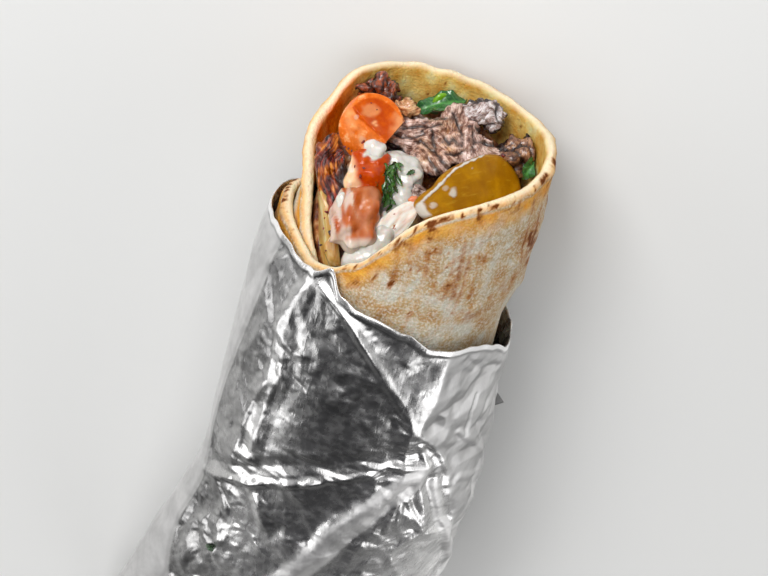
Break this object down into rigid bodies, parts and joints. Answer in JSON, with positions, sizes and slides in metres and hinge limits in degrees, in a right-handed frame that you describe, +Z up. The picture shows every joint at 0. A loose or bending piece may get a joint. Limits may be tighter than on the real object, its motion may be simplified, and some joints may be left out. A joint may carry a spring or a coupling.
{
  "type": "beef wrap",
  "caption": "Rolled flatbread filled with beef, tomato, pickle, onion, greens and white sauce, open at one end and held in a closed sleeve of crumpled foil.",
  "frame": {"origin": "centre of the bounding box on the plane the wrap lies on", "axes": "+X along the roll toward its open end, +Z up toward the side that is shown, +Y toward the side that the closed end bends to"},
  "size_m": [0.2194, 0.095, 0.0671],
  "materials": {
    "foil": "crumpled household foil, bright and creased",
    "bread": "matt baked flatbread, cream with brown toasted marks",
    "filling": "moist chopped filling",
    "sauce": "glossy white yogurt sauce",
    "beef": "moist browned beef, fibrous",
    "beef_fat": "moist paler beef",
    "tomato": "wet tomato flesh and skin",
    "onion": "translucent onion with sumac specks",
    "pale_leaf": "limp pale pink leaf",
    "pickle": "wet olive-yellow pickle",
    "greens": "wet dark green leaf"
  },
  "bodies": {
    "root": {"foil": "foil", "flatbread": "bread", "filling": "filling", "sauce": "sauce", "beef_slice": "beef", "beef_end": "beef", "beef_right": "beef", "beef_crisp": "beef", "beef_shreds": "beef", "beef_pale": "beef_fat", "tomato_wedge": "tomato", "tomato_chunk": "tomato", "tomato_piece": "tomato", "onion_strip": "onion", "pale_leaf": "pale_leaf", "pickle_slice": "pickle", "green_leaf_top": "greens", "green_leaf_side": "greens"}
  },
  "joints": []
}
